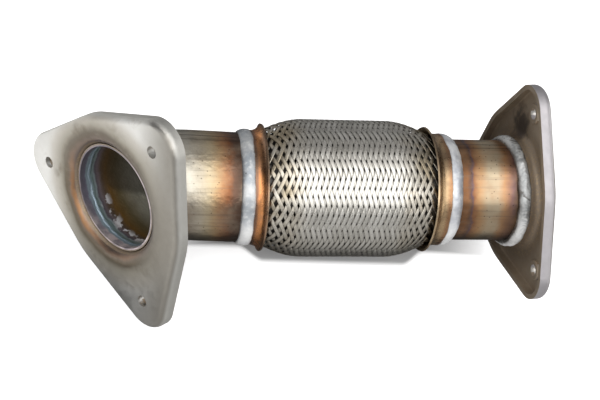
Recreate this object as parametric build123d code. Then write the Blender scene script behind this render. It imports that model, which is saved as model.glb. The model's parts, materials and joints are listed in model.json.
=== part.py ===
"""Exhaust pipe with a braided flexible joint and two pressed three-hole flanges.

The pipe is laid out along its own axis first: X runs from the inlet to the outlet through the
middle of the flexible joint. At the end it is turned to lie on the floor as it comes to rest.
"""
import os
from math import atan2, cos, pi, radians, sin, sqrt, tan

from build123d import *

# Tubes, in millimetres
inlet_tube_od = 63.5
outlet_tube_od = 60.0
tube_wall = 1.5

# Layout along the pipe
joint_length = 98.4            # from the rim of one collar to the rim of the other
elbow_reach = 63.1             # from the inlet collar's rim to the corner of the elbow
elbow_rise = 1.6               # how far that corner lies above the axis of the joint
elbow_arm = 29.6               # from the corner of the elbow to the inlet flange's face
elbow_bend_r = 62.0
leg_bend_r = 60.0              # where the inlet leg starts to rise
leg_lead = 2.5                 # from the wide end of the reducer to that bend
elbow_angle = 38.9             # degrees
elbow_roll = 32.8              # degrees, how far the elbow drops while it comes forward
inlet_lean = 0.0               # degrees, the inlet flange is square to its tube
outlet_reach = 62.5            # from the outlet collar's rim to the outlet flange's face
outlet_lean = 4.8              # degrees, the outlet flange is not quite square to its tube
outlet_lean_roll = 46.6        # degrees, the way it leans
tube_recess = 3.9              # how far a tube stops short of its flange's face

# Pressed flanges
sheet = 3.0
flange_depth = 8.0
face_bend_r = 4.0              # outer radius between the face and the skirt
lip_r = 7.0                    # visible radius round the mouth
neck_length = 9.0              # how deep the mouth is drawn, lip included
neck_clearance = 0.1
inlet_bolt_r = 56.8            # radius of the bolt circle
inlet_corner_r = 17.5
inlet_side_r = 52.5            # from the middle of the bolts to the bulge between two corners
inlet_bolt_turn = 62.1         # degrees
inlet_mouth_rise = 3.5         # how far the mouth lies above the middle of the bolts
inlet_mouth_shift = 2.0        # and to the side
outlet_bolt_r = 52.9
outlet_corner_r = 17.0
outlet_side_r = 49.6
outlet_bolt_turn = 36.5        # degrees
outlet_mouth_rise = -1.35
outlet_mouth_shift = 0.0
bolt_count = 3
bolt_hole_d = 6.8              # tapping size of an M8 thread
bolt_collar_od = 12.0
bolt_collar_height = 1.6       # past the back of the sheet
bolt_collar_edge = 0.6

# Fillet welds at the backs of the flanges
flange_weld_length = 6.0       # along the tube
flange_weld_edge = 0.4         # thickness where the bead ends on the tube
flange_weld_bulge = 0.8

# The clamped ends of the flexible joint, from the inside out
cuff_clearance = 0.06
support_wall = 0.6
support_length_inboard = 6.0
bellows_wall = 0.4
braid_end_wall = 0.8
collar_wall = 1.0
cuff_end = 9.0                 # where the clamped layers stop, outboard of the rim
tube_insertion = 7.5           # how far a tube goes into the cuff
liner_gap = 0.6                # between the liner and the end of a tube
reducer_lead = 0.5             # from the cuff to the narrow end of the inlet tube's reducer
reducer_length = 3.0

# Flared collars
flare_length = 5.4
flare_r = 5.7

# Welds round the collars
inlet_weld_overlap = 2.9       # onto the collar
outlet_weld_overlap = 0.4
inlet_weld_length = 4.7        # onto the tube
outlet_weld_length = 7.1
inlet_weld_crown = 0.6         # height of a bead over the end of the collar
outlet_weld_crown = 0.2
collar_weld_toe = 0.15         # thickness of a bead where it starts on the collar
collar_weld_edge = 0.5         # thickness of a bead where it ends on the tube

# Liner
liner_wall = 0.8
liner_groove_depth = 0.7
liner_pitch = 9.0
liner_groove_share = 0.45
liner_end_band = 8.0

# Bellows
bellows_fold_height = 5.6      # of the crests over the plain cuffs
bellows_pitch = 6.4
bellows_first_crest = 13.0     # from the rim, inboard

# Braid
braid_crest_clearance = 1.98   # between the crests of the bellows and the braid
braid_mouth_rise = 1.4         # how far the braid has swollen at the rim of a collar
braid_swell_length = 19.5
braid_swell_exponent = 1.4
braid_tuck_exponent = 2.35
braid_wall = 1.5
braid_groove = 0.75            # how deep the hollows between two strips are
braid_strands = 16             # bundles of strips that run each way
braid_bundle_angle = 60.0      # degrees, between a bundle and the axis of the pipe
braid_gap_rows = 7
braid_gap_share = 0.42         # size of a gap against the hollow that it opens
braid_gap_row_step = 3

# How the part lies
settle_steps = 12

# Sizes that follow from the ones above
inlet_tube_r = inlet_tube_od / 2
outlet_tube_r = outlet_tube_od / 2
cuff_tube_r = outlet_tube_r
rim_x = joint_length / 2
support_in_r = cuff_tube_r + cuff_clearance
support_out_r = support_in_r + support_wall
bellows_in_r = support_out_r + cuff_clearance
bellows_out_r = bellows_in_r + bellows_wall
braid_in_r = (bellows_out_r + cuff_clearance) / cos(pi / (2 * braid_strands))
braid_out_r = braid_in_r + braid_end_wall
braid_mouth_r = braid_out_r + braid_mouth_rise
bellows_crest_r = bellows_out_r + bellows_fold_height
braid_belly_r = bellows_crest_r + braid_crest_clearance + braid_wall
collar_in_r = braid_out_r + cuff_clearance
collar_out_r = collar_in_r + collar_wall
tube_end = cuff_end - tube_insertion
reducer_start = cuff_end + reducer_lead
reducer_end = reducer_start + reducer_length
liner_end = tube_end - liner_gap
liner_out_r = support_in_r - cuff_clearance
neck_grip = neck_length - tube_recess
grip_depth = tube_recess + neck_grip / 2


def inlet_direction():
    """The way that the inlet flange faces."""
    side = sin(radians(elbow_angle))
    roll = radians(elbow_roll)
    return Vector(-cos(radians(elbow_angle)), -side * cos(roll), -side * sin(roll))


def outlet_direction():
    """The way that the outlet flange faces."""
    side = sin(radians(outlet_lean))
    roll = radians(outlet_lean_roll)
    return Vector(cos(radians(outlet_lean)), side * cos(roll), side * sin(roll))


def mouth_plane(centre, facing):
    """A plane on a flange's face, at its mouth: Z faces outward and X points upward."""
    upward = (Vector(0, 0, 1) - facing * facing.Z).normalized()
    return Plane(origin=centre, x_dir=upward, z_dir=facing)


def bolts_plane(mouth, rise, shift, bolt_turn):
    """The plane on a flange's face at the middle of its bolts: X points at the first bolt."""
    return Plane(mouth.location * Pos(-rise, -shift, 0) * Rot(0, 0, bolt_turn))


elbow_corner = Vector(-rim_x - elbow_reach, 0, elbow_rise)
outlet_grip = Vector(rim_x + outlet_reach - grip_depth, 0, 0)
inlet_mouth = mouth_plane(elbow_corner + inlet_direction() * elbow_arm, inlet_direction())
outlet_mouth = mouth_plane(outlet_grip + outlet_direction() * grip_depth, outlet_direction())
inlet_face = bolts_plane(inlet_mouth, inlet_mouth_rise, inlet_mouth_shift, inlet_bolt_turn)
outlet_face = bolts_plane(outlet_mouth, outlet_mouth_rise, outlet_mouth_shift, outlet_bolt_turn)
inlet_rim = Plane(origin=(-rim_x, 0, 0), x_dir=(0, 0, 1), z_dir=(-1, 0, 0))
outlet_rim = Plane(origin=(rim_x, 0, 0), x_dir=(0, 0, 1), z_dir=(1, 0, 0))
pipe_middle = Plane(origin=(0, 0, 0), x_dir=(0, 0, 1), z_dir=(1, 0, 0))


def turned(face):
    """A ring turned from a profile drawn as radius along X and length along Z."""
    return revolve(face, Axis.Z)


def ring(inner_r, outer_r, low, high):
    """A plain ring between two heights."""
    corners = [(inner_r, 0, low), (outer_r, 0, low), (outer_r, 0, high), (inner_r, 0, high)]
    return turned(make_face(Polyline(*corners, close=True)))


def in_frame(place, frame):
    """Where a plane lies in the frame of another one."""
    return frame.location.inverse() * place.location


def neck_bore_r(tube_r, lean):
    """Radius of a flange's neck: it clears a tube that passes through at a lean."""
    return tube_r / cos(radians(lean)) + neck_grip / 2 * tan(radians(lean)) + neck_clearance


def flange_outline(bolt_r, corner_r, side_r, inset=0.0):
    """The three-cornered outline: round corners about the bolts, and a slight bulge between."""
    circles = PolarLocations(bolt_r, bolt_count) * Circle(corner_r - inset)
    circles.append(Circle(side_r - inset))
    return make_hull([circle.edge() for circle in circles])


def dished_blank(bolt_r, corner_r, side_r):
    """The sheet pressed to a shallow dish: face, rounded edge and skirt."""
    outline = flange_outline(bolt_r, corner_r, side_r)
    outer = Pos(0, 0, -flange_depth) * extrude(outline, flange_depth)
    outer = fillet(outer.faces().sort_by(Axis.Z)[-1].edges(), face_bend_r)
    hollow_outline = flange_outline(bolt_r, corner_r, side_r, inset=sheet)
    hollow = Pos(0, 0, -flange_depth - sheet) * extrude(hollow_outline, flange_depth)
    hollow = fillet(hollow.faces().sort_by(Axis.Z)[-1].edges(), face_bend_r - sheet)
    return outer - hollow


def drawn_mouth(bore_r):
    """The neck of the mouth: it rolls in from the face with a wide lip and ends in a short tube."""
    lip_start = bore_r + lip_r
    back_r = lip_r - sheet
    outside = bore_r + sheet
    bend = cos(radians(45))
    face_side = [Line((lip_start + sheet, 0, 0), (lip_start, 0, 0)),
                 ThreePointArc((lip_start, 0, 0), (lip_start - lip_r * bend, 0, -lip_r + lip_r * bend),
                               (bore_r, 0, -lip_r)),
                 Line((bore_r, 0, -lip_r), (bore_r, 0, -neck_length))]
    back_side = [Line((bore_r, 0, -neck_length), (outside, 0, -neck_length)),
                 Line((outside, 0, -neck_length), (outside, 0, -lip_r)),
                 ThreePointArc((outside, 0, -lip_r),
                               (lip_start - back_r * bend, 0, -lip_r + back_r * bend),
                               (lip_start, 0, -sheet)),
                 Line((lip_start, 0, -sheet), (lip_start + sheet, 0, -sheet)),
                 Line((lip_start + sheet, 0, -sheet), (lip_start + sheet, 0, 0))]
    return turned(make_face(face_side + back_side))


def bolt_collar():
    """A drawn collar for one bolt, on the back of the sheet."""
    collar_r = bolt_collar_od / 2
    height = sheet + bolt_collar_height
    collar = Pos(0, 0, -height) * extrude(Circle(collar_r), height - face_bend_r / 2)
    return chamfer(collar.faces().sort_by(Axis.Z)[0].edges(), bolt_collar_edge)


def pressed_flange(bolt_r, corner_r, side_r, bore_r, mouth):
    """One flange, in its own frame: the face lies in XY and the hollow back is below it."""
    flange = dished_blank(bolt_r, corner_r, side_r)
    flange -= mouth * Pos(0, 0, -sheet) * extrude(Circle(bore_r + lip_r), sheet)
    flange += mouth * drawn_mouth(bore_r)
    bolts = PolarLocations(bolt_r, bolt_count)
    flange += bolts * bolt_collar()
    hole_depth = sheet + bolt_collar_height + sheet
    flange -= bolts * (Pos(0, 0, -hole_depth) * extrude(Circle(bolt_hole_d / 2), hole_depth + sheet))
    return flange.solid()


def flange_weld(bore_r, tube_r, lean):
    """The fillet bead in the angle between a flange's neck and the tube, in the flange's frame."""
    low = -neck_length - flange_weld_length
    high = -neck_length - cuff_clearance
    tube_side = (tube_r - tube_wall, 0, low)
    drift = (-low - grip_depth) * tan(radians(lean))
    foot = (tube_r / cos(radians(lean)) + drift + flange_weld_edge, 0, low)
    toe = (bore_r + sheet, 0, high)
    swell = ((foot[0] + toe[0]) / 2 + flange_weld_bulge, 0, (low + high) / 2 - flange_weld_bulge)
    profile = [Line(tube_side, foot), ThreePointArc(foot, swell, toe),
               Line(toe, (tube_side[0], 0, high)), Line((tube_side[0], 0, high), tube_side)]
    return turned(make_face(profile))


def inlet_path():
    """The middle line of the bent inlet tube, from the mouth to the reducer at its other end."""
    mouth = inlet_mouth.origin - inlet_mouth.z_dir * tube_recess
    leg_start = Vector(-rim_x - reducer_end - leg_lead, 0, 0)
    inner_end = Vector(-rim_x - reducer_end, 0, 0)
    return FilletPolyline(mouth, elbow_corner, leg_start, inner_end, radius=[elbow_bend_r, leg_bend_r])


def swept_disc(path, radius):
    """A round bar along a path."""
    start = Plane(origin=path @ 0, z_dir=path % 0)
    return sweep(start * Circle(radius), path=path)


def inlet_reducer():
    """The end of the inlet tube, drawn down to the size that the cuff takes."""
    outside = [(inlet_tube_r, reducer_end), (cuff_tube_r, reducer_start), (cuff_tube_r, tube_end)]
    inside = [(radius - tube_wall, height) for radius, height in reversed(outside)]
    corners = [(radius, 0, height) for radius, height in outside + inside]
    return turned(make_face(Polyline(*corners, close=True)))


def inlet_elbow():
    """The bent inlet tube."""
    path = inlet_path()
    tube = swept_disc(path, inlet_tube_r) - swept_disc(path, inlet_tube_r - tube_wall)
    return (tube + inlet_rim * inlet_reducer()).solid()


def outlet_tube():
    """The straight outlet tube."""
    start = rim_x + tube_end
    length = outlet_reach - tube_end - tube_recess
    profile = Circle(outlet_tube_r) - Circle(outlet_tube_r - tube_wall)
    return (Plane(origin=(start, 0, 0), z_dir=(1, 0, 0)) * extrude(profile, length)).solid()


def collar():
    """A collar: a neck over the clamped layers that flares out to a thin rim at height 0."""
    centre_r = collar_out_r + flare_r
    turn = radians(90) - atan2(flare_length, sqrt(flare_r ** 2 - flare_length ** 2))
    reach_out = flare_r
    reach_in = flare_r + collar_wall

    def on_arc(reach, share):
        angle = turn + (radians(90) - turn) * share
        return (centre_r - reach * sin(angle), 0, flare_length - reach * cos(angle))

    outer_arc = ThreePointArc(on_arc(reach_out, 0), on_arc(reach_out, 0.5), on_arc(reach_out, 1))
    inner_arc = ThreePointArc(on_arc(reach_in, 1), on_arc(reach_in, 0.5), on_arc(reach_in, 0))
    profile = [outer_arc,
               Line(outer_arc @ 1, (collar_out_r, 0, cuff_end)),
               Line((collar_out_r, 0, cuff_end), (collar_in_r, 0, cuff_end)),
               Line((collar_in_r, 0, cuff_end), inner_arc @ 0),
               inner_arc,
               Line(inner_arc @ 1, outer_arc @ 0)]
    return turned(make_face(profile))


def collar_weld(tube_r, overlap, length, crown_height):
    """The bead that runs from the collar down to the tube and covers the ends of the layers."""
    start = cuff_end - overlap
    shoulder = cuff_end + cuff_clearance
    end = cuff_end + length
    top_r = collar_out_r + cuff_clearance
    base_r = tube_r + cuff_clearance
    cuff_r = cuff_tube_r + cuff_clearance
    toe = (top_r + collar_weld_toe, 0, start)
    edge = (base_r + collar_weld_edge, 0, end)
    crown = (top_r + crown_height, 0, shoulder)
    seat = Polyline(edge, (base_r, 0, end), (base_r, 0, reducer_end), (cuff_r, 0, reducer_start),
                    (cuff_r, 0, shoulder), (top_r, 0, shoulder), (top_r, 0, start), toe)
    return turned(make_face([ThreePointArc(toe, crown, edge)] + seat.edges()))


def support_ring():
    """The ring inside a cuff, pushed over the end of its tube."""
    return ring(support_in_r, support_out_r, -support_length_inboard, cuff_end)


def interlock_liner():
    """The liner: plain at its ends, with ringed grooves between them."""
    half = rim_x + liner_end
    inner_r = liner_out_r - liner_wall - liner_groove_depth
    liner = ring(inner_r, liner_out_r, -half, half)
    grooved = 2 * (half - liner_end_band)
    count = int(grooved / liner_pitch)
    width = liner_pitch * liner_groove_share
    for index in range(count):
        middle = (index - (count - 1) / 2) * liner_pitch
        liner -= ring(liner_out_r - liner_groove_depth, liner_out_r + liner_wall,
                      middle - width / 2, middle + width / 2)
        shifted = middle + liner_pitch / 2
        if index < count - 1:
            liner -= ring(inner_r - liner_wall, inner_r + liner_groove_depth,
                          shifted - width / 2, shifted + width / 2)
    return liner


def bellows_side(wall_offset, half, crests):
    """One side of the bellows' wall as a chain of points: straight ends and round-nosed folds."""
    bend_r = bellows_pitch / 4
    low_r = bellows_in_r + bellows_wall / 2
    high_r = bellows_crest_r - bellows_wall / 2
    crest_bend = bend_r + wall_offset
    root_bend = bend_r - wall_offset
    tip = cos(radians(45))
    lines = []
    last = (low_r + wall_offset, 0, -half)
    for middle in crests:
        start = middle - 2 * bend_r
        root = (low_r + wall_offset, 0, start)
        if start - last[2] > cuff_clearance:
            lines.append(Line(last, root))
        foot_in = (low_r + bend_r, 0, middle - crest_bend)
        foot_out = (low_r + bend_r, 0, middle + crest_bend)
        head_in = (high_r - bend_r, 0, middle - crest_bend)
        head_out = (high_r - bend_r, 0, middle + crest_bend)
        end = (low_r + wall_offset, 0, middle + 2 * bend_r)
        lines.append(ThreePointArc(root, (low_r + bend_r - root_bend * tip, 0, start + root_bend * tip),
                                   foot_in))
        lines.append(Line(foot_in, head_in))
        lines.append(ThreePointArc(head_in, (high_r + wall_offset, 0, middle), head_out))
        lines.append(Line(head_out, foot_out))
        lines.append(ThreePointArc(foot_out, (low_r + bend_r - root_bend * tip, 0,
                                              middle + 2 * bend_r - root_bend * tip), end))
        last = end
    lines.append(Line(last, (low_r + wall_offset, 0, half)))
    return lines


def bellows():
    """The bellows: one thin wall folded into rings, with a plain cuff at each end."""
    half = rim_x + cuff_end
    span = 2 * (rim_x - bellows_first_crest)
    count = int(span / bellows_pitch) + 1
    crests = [(index - (count - 1) / 2) * bellows_pitch for index in range(count)]
    outside = bellows_side(bellows_wall / 2, half, crests)
    inside = bellows_side(-bellows_wall / 2, half, crests)
    ends = [Line((bellows_in_r, 0, end), (bellows_out_r, 0, end)) for end in (-half, half)]
    return turned(make_face(outside + inside + ends))


def braid_radius(height):
    """Outside radius of the braid at a height along the pipe, from the clamped end to the belly."""
    inboard = rim_x - abs(height)
    if inboard >= braid_swell_length:
        return braid_belly_r
    if inboard >= 0:
        left = 1 - inboard / braid_swell_length
        return braid_belly_r - (braid_belly_r - braid_mouth_r) * left ** braid_swell_exponent
    if inboard > -flare_length:
        left = 1 + inboard / flare_length
        return braid_out_r + (braid_mouth_r - braid_out_r) * left ** braid_tuck_exponent
    return braid_out_r


def braid_thickness(height):
    """Thickness of the braid: pressed flat in the cuff, full where it is free."""
    inboard = rim_x - abs(height)
    share = min(max(inboard / braid_swell_length, 0), 1)
    return braid_end_wall + (braid_wall - braid_end_wall) * share


def braid_point(column, row, rows, depth_share):
    """A point of the woven wall, or None past its ends: 0 is on top of the strips, 1 is inside."""
    if not 0 <= row <= rows:
        return None
    half = rim_x + cuff_end
    height = half * (2 * row / rows - 1)
    radius = braid_radius(height) - braid_thickness(height) * depth_share
    angle = pi * column / braid_strands
    return Vector(radius * cos(angle), radius * sin(angle), height)


def facet(*corners):
    """One flat three-cornered facet."""
    return Face(Wire.make_polygon(corners))


def closed_hollow(corners, middle):
    """The facets of a diamond between four strips, sunk to its middle."""
    sides = zip(corners, corners[1:] + corners[:1])
    return [facet(first, second, middle) for first, second in sides if None not in (first, second)]


def gap_edge(corners, middle):
    """The corners of the gap in a diamond."""
    return [middle + (corner - middle) * braid_gap_share for corner in corners]


def band_facets(outer, inner):
    """The facets between two loops, or between two open chains of points."""
    facets = []
    for index in range(1, len(outer)):
        facets.append(facet(outer[index - 1], outer[index], inner[index]))
        facets.append(facet(outer[index - 1], inner[index], inner[index - 1]))
    return facets


def diamond_facets(column, row, rows, has_gap):
    """All the facets of one diamond of the weave: its outside, its inside and the gap's walls."""
    around = [(column - 1, row), (column, row - 1), (column + 1, row), (column, row + 1)]
    outer = [braid_point(c, r, rows, 0) for c, r in around]
    inner = [braid_point(c, r, rows, 1) for c, r in around]
    outer_middle = braid_point(column, row, rows, braid_groove / braid_wall)
    inner_middle = braid_point(column, row, rows, 1)
    if not has_gap:
        facets = closed_hollow(outer, outer_middle) + closed_hollow(inner, inner_middle)
        if row in (0, rows):
            facets += band_facets([outer[0], outer_middle, outer[2]], [inner[0], inner_middle, inner[2]])
        return facets
    outer_gap = gap_edge(outer, outer_middle)
    inner_gap = gap_edge(inner, inner_middle)
    loops = [loop + loop[:1] for loop in (outer, outer_gap, inner_gap, inner)]
    return band_facets(loops[0], loops[1]) + band_facets(loops[1], loops[2]) + \
        band_facets(loops[2], loops[3])


def outer_braid():
    """The woven sleeve: one closed wall with crossing ridges and rows of diamond gaps."""
    half = rim_x + cuff_end
    bundle_step = pi * braid_belly_r / braid_strands
    rows = 2 * round(half * tan(radians(braid_bundle_angle)) / bundle_step)
    middle_row = rows // 2
    first_gap_row = middle_row - braid_gap_row_step * (braid_gap_rows - 1) // 2
    gap_rows = {first_gap_row + braid_gap_row_step * index for index in range(braid_gap_rows)}
    facets = []
    for row in range(rows + 1):
        for column in range(2 * braid_strands):
            if (row + column) % 2 == 1:
                facets += diamond_facets(column, row, rows, row in gap_rows)
    return Solid(Shell(facets))


def touch_point(face, bolt_r, round_r, index, up):
    """Where a round stretch of a flange touches a floor: on its face edge or the rim of its skirt."""
    turn = radians(360 / bolt_count * index)
    outward = face.x_dir * cos(turn) + face.y_dir * sin(turn)
    centre = face.origin + outward * bolt_r
    down = up * -1
    sideways = (down - face.z_dir * down.dot(face.z_dir)).normalized()
    edge_ring = centre - face.z_dir * face_bend_r + sideways * (round_r - face_bend_r)
    on_edge = edge_ring + down * face_bend_r
    on_skirt = centre - face.z_dir * flange_depth + sideways * round_r
    return max(on_edge, on_skirt, key=down.dot)


def floor_contacts(up):
    """The three places where the pipe lies on a floor that faces a way.

    The inlet flange lies on a straight side, from its bulge to a corner, and the outlet flange on
    a corner.
    """
    return (touch_point(inlet_face, 0, inlet_side_r, 0, up),
            touch_point(inlet_face, inlet_bolt_r, inlet_corner_r, 1, up),
            touch_point(outlet_face, outlet_bolt_r, outlet_corner_r, 2, up))


def resting_floor():
    """The floor under the pipe, with X along the pipe."""
    up = Vector(0, -1, 0)
    for _ in range(settle_steps):
        first, second, third = floor_contacts(up)
        normal = (second - first).cross(third - first).normalized()
        up = normal if normal.dot(up) > 0 else normal * -1
    along = Vector(1, 0, 0) - up * up.X
    return Plane(origin=floor_contacts(up)[0], x_dir=along, z_dir=up)


def build_pieces():
    """Every piece by name, laid out along the pipe."""
    inlet_bore_r = neck_bore_r(inlet_tube_r, inlet_lean)
    outlet_bore_r = neck_bore_r(outlet_tube_r, outlet_lean)
    inlet_bar = swept_disc(inlet_path(), inlet_tube_r + cuff_clearance)
    outlet_bar = Plane(origin=(rim_x, 0, 0), z_dir=(1, 0, 0)) * \
        extrude(Circle(outlet_tube_r + cuff_clearance), outlet_reach)
    inlet_bead = collar_weld(inlet_tube_r, inlet_weld_overlap, inlet_weld_length, inlet_weld_crown)
    outlet_bead = collar_weld(outlet_tube_r, outlet_weld_overlap, outlet_weld_length, outlet_weld_crown)
    return {
        "inlet_flange": inlet_face * pressed_flange(
            inlet_bolt_r, inlet_corner_r, inlet_side_r, inlet_bore_r, in_frame(inlet_mouth, inlet_face)),
        "inlet_flange_weld": inlet_mouth * flange_weld(inlet_bore_r, inlet_tube_r,
                                                       inlet_lean) - inlet_bar,
        "inlet_elbow": inlet_elbow(),
        "inlet_collar_weld": inlet_rim * inlet_bead,
        "inlet_collar": inlet_rim * collar(),
        "inlet_support_ring": inlet_rim * support_ring(),
        "interlock_liner": pipe_middle * interlock_liner(),
        "bellows": pipe_middle * bellows(),
        "outer_braid": pipe_middle * outer_braid(),
        "outlet_support_ring": outlet_rim * support_ring(),
        "outlet_collar": outlet_rim * collar(),
        "outlet_collar_weld": outlet_rim * outlet_bead,
        "outlet_tube": outlet_tube(),
        "outlet_flange_weld": outlet_mouth * flange_weld(outlet_bore_r, outlet_tube_r,
                                                         outlet_lean) - outlet_bar,
        "outlet_flange": outlet_face * pressed_flange(
            outlet_bolt_r, outlet_corner_r, outlet_side_r, outlet_bore_r,
            in_frame(outlet_mouth, outlet_face)),
    }


def lay_down(pieces):
    """Turns the pipe onto its resting corners and centres it over the origin."""
    onto_floor = resting_floor().location.inverse()
    laid = {name: onto_floor * piece for name, piece in pieces.items()}
    box = Compound(list(laid.values())).bounding_box()
    centring = Pos(-box.center().X, -box.center().Y, 0)
    return {name: centring * piece for name, piece in laid.items()}


os.makedirs("parts", exist_ok=True)
for name, piece in lay_down(build_pieces()).items():
    export_step(piece.solid(), f"parts/{name}.step")
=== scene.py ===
"""Looks of the exhaust pipe: the woven sleeve, the weld beads, the heat-tinted steel and the studio."""
import json
import math
import random
from typing import NamedTuple

import bpy
import numpy as np
from mathutils import Matrix, Vector, noise


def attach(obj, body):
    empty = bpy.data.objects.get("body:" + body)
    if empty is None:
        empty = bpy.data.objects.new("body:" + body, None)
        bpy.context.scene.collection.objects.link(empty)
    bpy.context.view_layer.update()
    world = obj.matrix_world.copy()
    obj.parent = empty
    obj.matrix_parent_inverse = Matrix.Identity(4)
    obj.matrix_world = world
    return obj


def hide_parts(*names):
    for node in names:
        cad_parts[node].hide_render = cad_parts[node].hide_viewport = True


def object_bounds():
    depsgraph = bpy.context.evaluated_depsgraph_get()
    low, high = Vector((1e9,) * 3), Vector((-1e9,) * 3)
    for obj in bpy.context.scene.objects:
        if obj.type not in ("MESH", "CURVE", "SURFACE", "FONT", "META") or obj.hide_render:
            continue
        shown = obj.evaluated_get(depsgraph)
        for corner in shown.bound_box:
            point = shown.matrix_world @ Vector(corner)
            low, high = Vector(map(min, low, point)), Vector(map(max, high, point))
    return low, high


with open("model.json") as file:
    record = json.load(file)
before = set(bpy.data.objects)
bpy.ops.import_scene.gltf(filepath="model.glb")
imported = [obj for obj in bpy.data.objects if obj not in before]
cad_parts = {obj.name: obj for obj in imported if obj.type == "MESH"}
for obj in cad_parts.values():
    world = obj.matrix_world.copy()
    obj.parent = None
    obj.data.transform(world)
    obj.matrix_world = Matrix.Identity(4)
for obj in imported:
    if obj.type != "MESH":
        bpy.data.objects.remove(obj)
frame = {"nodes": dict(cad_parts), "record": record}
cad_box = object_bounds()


class Grain(NamedTuple):
    """Noise on a surface. Its waves are counted per metre."""
    waves: float
    detail: float = 3.0
    roughness: float = 0.55
    distortion: float = 0.0


class Run(NamedTuple):
    """How a weld bead was laid: its noise, the wander of its edges, its lumps and its ripples."""
    seed: int
    wander: float
    lumps: float
    ripple: float
    pitch: float


class Softbox(NamedTuple):
    """A rectangular light that faces the part. Azimuth 0 is the near side, 90 is on the right."""
    name: str
    elevation: float
    azimuth: float
    distance: float
    width: float
    height: float
    strength: float


MM = 0.001
BLACK = (0.0, 0.0, 0.0)
WHITE = (1.0, 1.0, 1.0)

# Camera, in the frame of the part
CAMERA_PLACE = Vector((-0.15436, -0.34842, 0.63167))
CAMERA_LOOK = Vector((0.22806, 0.50368, -0.83325))
CAMERA_UP = Vector((-0.03956, 0.85989, 0.50896))
CAMERA_LENS = 72.0
SENSOR_WIDTH = 36.0

# Lights: elevation and azimuth in degrees, distance, width and height in metres, and strength
SOFTBOXES = (
    Softbox("key_softbox", 65, 0, 1.6, 2.6, 2.2, 2.2),
    Softbox("top_softbox", 111, 0, 1.6, 2.6, 0.6, 0.8),
    Softbox("far_fill", 35, 180, 1.8, 3.0, 0.9, 0.35),
    Softbox("inlet_fill", 22, -62, 1.2, 0.8, 0.7, 1.3),
    Softbox("outlet_fill", 16, 80, 1.5, 1.8, 1.2, 1.2),
    Softbox("near_fill", 12, 0, 1.8, 2.6, 0.8, 0.35))
DIM_ROOM = (0.16, 0.16, 0.165)

# A range is where something starts and ends. A third number is its strength, and where there are
# four, the last two are the values at its ends. A band has a middle and a width.

# Floor: its half width is in metres, and its ranges are in millimetres
FLOOR_HALF = 4.0
FLOOR_MIDDLE = (0, 0, 0)
RIGHTWARD = (1, 0, 0)
BACKWARD = (0, 1, 0)
UPWARD = (0, 0, 1)
FLOOR_ROUGHNESS = 0.9
# Painted reflections: the floor as the metal mirrors it, dark near the part and bright away from it
PAINTED_REFLECTION_TONES = (0.08, 0.08, 0.08), (0.92, 0.92, 0.92)
# Painted shadow: the floor as the camera sees it, light away from the part and darker in a band under it
PAINTED_SHADOW_TONES = (0.52, 0.52, 0.52), (0.93, 0.93, 0.93)
# Painted light: a glow to the left of the part, seen only in reflections and bounced light
LEFT_PAINTED_GLOW = (0.4, 0.4, 0.39)
LIGHT_LEFT = (-160, -100, 0.8)
LIGHT_NEAR = (-75, -40, 0.45)
LIGHT_BEHIND = (150, 700, 0.6)
# Painted shadow: where the band under the part lies, and how it bulges under the sleeve
SHADOW_BULGE_MIDDLE = 36
SHADOW_BULGE = (44, 60, 9.5)
SHADOW_MIDDLE = 32
SHADOW_SIDES = (60, 120)
SHADOW_FRONT = (-3.5, 1.5)
SHADOW_BACK = (30, 80)
# Painted light: the floor's glow grows with distance, so that it shows white up to the horizon
HORIZON = (400, 1500, 0.55, 1.0)

# Sleeve
BELLY_R = 40.2 * MM
MOUTH_R = 33.53 * MM
CLAMPED_R = 32.13 * MM
SWELL_LENGTH = 23.0 * MM
SWELL_EXPONENT = 1.75
TUCK_LENGTH = 5.4 * MM
TUCK_EXPONENT = 2.35
SLEEVE_OVERRUN = 5.0 * MM

# Strips of the sleeve. A turn is one pitch of the strips that lean one way.
STRIPS_EACH_WAY = 24
STRIPS_OVER = 2
STRIP_WIDTH = 2.2 * MM
STRIP_THICKNESS = 0.32 * MM
STRIP_CROWN = 0.05 * MM
STRIP_SIDES = (-1.0, -0.62, 0.0, 0.62, 1.0)
CROSSING_SAMPLES = (-0.5, -0.32, 0.0, 0.32)
WEAVE_RISE = 0.2 * MM
WEAVE_FLANK = 0.36
WEAVE_SHIFT = 0.5
WEAVE_TURN = math.radians(-1.4)
BELLY_PITCH = 3.05 * MM
EVEN_TURNS = 9.6
PITCH_GROWTH = 0.42 * MM
TURN_STEP = 0.1
STRIP_SEED = 7
WANDER_START = 6.28
WANDER_SIZES = (0.01, 0.05)
WANDER_RATE = 0.9
# Painted shade on the strips: along their edges, and where they pass under the others
EDGE_PAINTED_SHADE = 0.42
UNDER_PAINTED_SHADE = 0.28

# Weld beads: the seed of their noise, then sizes of the wander, the lumps and the ripples
INLET_COLLAR_RUN = Run(1, 0.5 * MM, 0.22 * MM, 0.03 * MM, 2.6 * MM)
OUTLET_COLLAR_RUN = Run(2, 0.6 * MM, 0.3 * MM, 0.03 * MM, 2.6 * MM)
INLET_FLANGE_RUN = Run(3, 0.5 * MM, 0.5 * MM, 0.12 * MM, 2.2 * MM)
OUTLET_FLANGE_RUN = Run(4, 0.9 * MM, 0.6 * MM, 0.14 * MM, 2.2 * MM)
BEAD_STEPS = 400
BEAD_ROWS = 16
BODY_EXPONENT = 0.6
TOE_EXPONENT = 0.5
SEED_STEP = 7.3

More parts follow.
